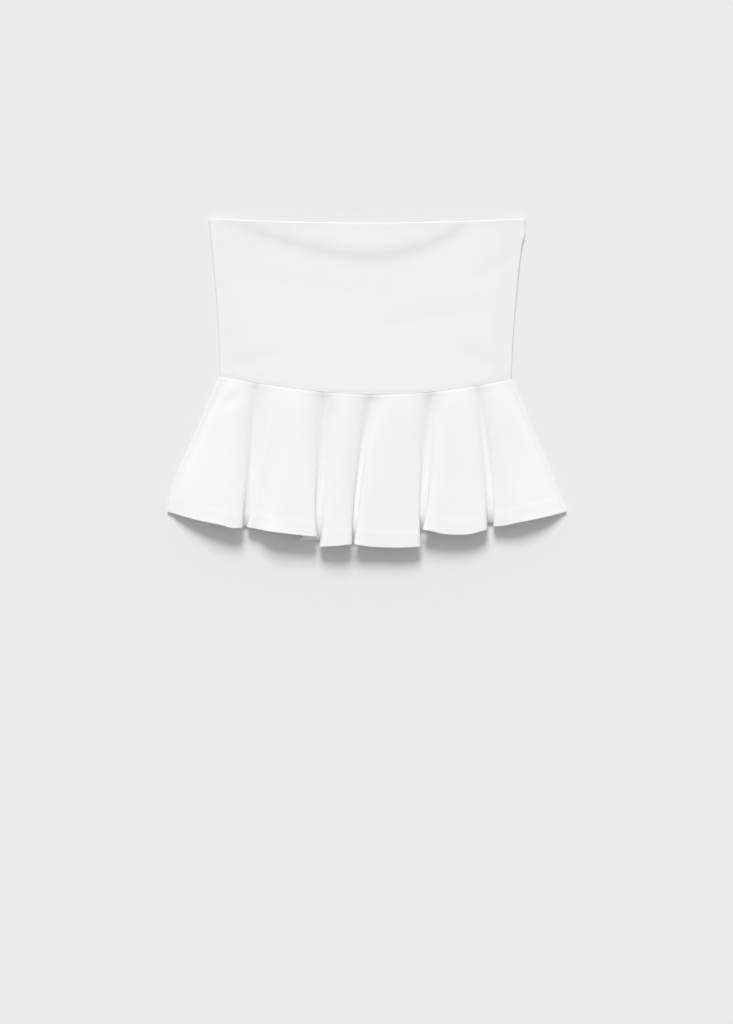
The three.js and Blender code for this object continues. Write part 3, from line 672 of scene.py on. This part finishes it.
def stitches(name, lines, pitch, length, thickness, unevenness):
    """Stitches along lines, each a pair of its points and the ways that its stitches lie there. In mm."""
    points = np.concatenate([line for line, _ in lines])
    starts = np.cumsum([0] + [len(line) for line, _ in lines])
    edges = [(i, i + 1) for a, b in zip(starts[:-1], starts[1:]) for i in range(a, b - 1)]
    mesh = bpy.data.meshes.new(name)
    mesh.from_pydata((points * MM).tolist(), edges, [])
    ways = mesh.attributes.new("lie", "FLOAT_VECTOR", "POINT")
    ways.data.foreach_set("vector", np.concatenate([way for _, way in lines]).ravel())
    piece = bpy.data.objects.new(name, mesh)
    bpy.context.scene.collection.objects.link(piece)
    modifier = piece.modifiers.new("stitches", "NODES")
    modifier.node_group = stitcher
    sizes = {"Pitch": pitch * MM, "Length": length * MM, "Thickness": thickness * MM,
             "Unevenness": unevenness}
    for socket in stitcher.interface.items_tree:
        if socket.in_out == "INPUT" and socket.name in sizes:
            modifier[socket.identifier] = sizes[socket.name]
    graph = bpy.context.evaluated_depsgraph_get()
    piece.data = bpy.data.meshes.new_from_object(piece.evaluated_get(graph), depsgraph=graph)
    piece.data.name = name
    piece.modifiers.clear()
    piece.data.shade_smooth()
    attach(piece, "root")


def across(line):
    return np.tile([0.0, 1.0, 0.0], (len(line), 1))


def along(line):
    return np.gradient(line, axis=0)


seam_lift = CLOTH / 2 - WAIST_STITCH_DEEP
front_waist = surface_line(front_middle, flounce_rows, np.zeros(len(front_middle)), seam_lift)
back_waist = surface_line(back_middle, flounce_rows, np.zeros(len(back_middle)), -seam_lift)
stitches("waist_seam_thread", [(line, across(line)) for line in (front_waist, back_waist)], **WAIST_STITCH)

# Side seam thread. The same thread down both sides, from the underarm to the hem, where the front's and the
# back's edges meet at the outline. It is drawn at its true 0.3 mm.
SIDE_STITCH = {"pitch": 2.6, "length": 1.0, "thickness": 0.3, "unevenness": 0.2}
SIDE_STITCH_DEEP = 0.55
side_lines = []
for column, out in ((0, -1), (-1, 1)):
    bodice_side = np.column_stack([
        bodice_side_x[column], bodice_side_y[column], np.full(len(bodice_rows), SIDE_Z)])
    flounce_side = np.column_stack([front_middle[column, :, :2], np.full(len(flounce_rows), SIDE_Z)])
    for line in (bodice_side, flounce_side):
        line = line + [out * (CLOTH / 2 - SIDE_STITCH_DEEP), 0, 0]
        side_lines.append((line, np.tile([0.0, 0.0, 1.0], (len(line), 1))))
stitches("side_seam_thread", side_lines, **SIDE_STITCH)

# Hem stitching. One row of the same thread holds the hem's turning, 16 mm above its edge, all round the
# flounces. Its stitches are 2.2 mm long, with short gaps between them.
HEM_ROW = 16.0
HEM_STITCH = {"pitch": 2.8, "length": 2.2, "thickness": 0.4, "unevenness": 0.15}
HEM_LIFT = {"front": 0.65, "back": -0.45}


def hem_row(middle, lift):
    depth = middle[:, 0, 1] - middle[:, -1, 1]
    line = surface_line(middle, flounce_rows, 1 - HEM_ROW / depth, lift)
    return line, along(line)


hem_lines = [hem_row(front_middle, HEM_LIFT["front"]), hem_row(back_middle, HEM_LIFT["back"])]
stitches("hem_stitches", hem_lines, **HEM_STITCH)

# The surface that the top is laid on: a plain pale grey sheet of matt board, larger than the view.
floor_mesh = bpy.data.meshes.new("floor")
floor_mesh.from_pydata([(-4, -4, 0), (4, -4, 0), (4, 4, 0), (-4, 4, 0)], [], [(0, 1, 2, 3)])
floor = bpy.data.objects.new("floor", floor_mesh)
floor.location.z = -0.0002
bpy.context.scene.collection.objects.link(floor)
board = bpy.data.materials.new("pale_matt_board")
board.use_nodes = True
board_shader = board.node_tree.nodes["Principled BSDF"]
board_shader.inputs["Base Color"].default_value = linear("E9E9E9")
board_shader.inputs["Roughness"].default_value = 1.0
board_shader.inputs["Specular IOR Level"].default_value = 0.0
floor_mesh.materials.append(board)

# Light: one large soft lamp from beyond the neckline, a little to the left and 36 degrees high, over an
# even white room.
scene = bpy.context.scene
scene.view_settings.view_transform = "Standard"
scene.view_settings.look = "None"
key = bpy.data.lights.new("key", "SUN")
key.energy = 2.88
key.angle = math.radians(24)
lamp = bpy.data.objects.new("key", key)
lamp.rotation_euler = (math.radians(-54), 0, math.radians(4))
scene.collection.objects.link(lamp)
room = bpy.data.worlds.new("room")
room.use_nodes = True
room.node_tree.nodes["Background"].inputs["Color"].default_value = (1, 1, 1, 1)
room.node_tree.nodes["Background"].inputs["Strength"].default_value = 0.47
scene.world = room

# Camera: straight above the middle of the picture, with a long lens, so that its height covers 1208 mm.
PIXEL = 1.18
PICTURE = {"width": 733, "height": 1024, "origin_x": 367, "origin_y": 383}
LENS = 120.0
SENSOR = 36.0
camera = bpy.data.cameras.new("camera")
camera.lens = LENS
camera.sensor_width = SENSOR
camera.clip_end = 20
view = bpy.data.objects.new("camera", camera)
view.location = (
    (PICTURE["width"] / 2 - PICTURE["origin_x"]) * PIXEL * MM,
    (PICTURE["origin_y"] - PICTURE["height"] / 2) * PIXEL * MM,
    PICTURE["height"] * PIXEL * MM * LENS / SENSOR,
)
scene.collection.objects.link(view)
scene.camera = view
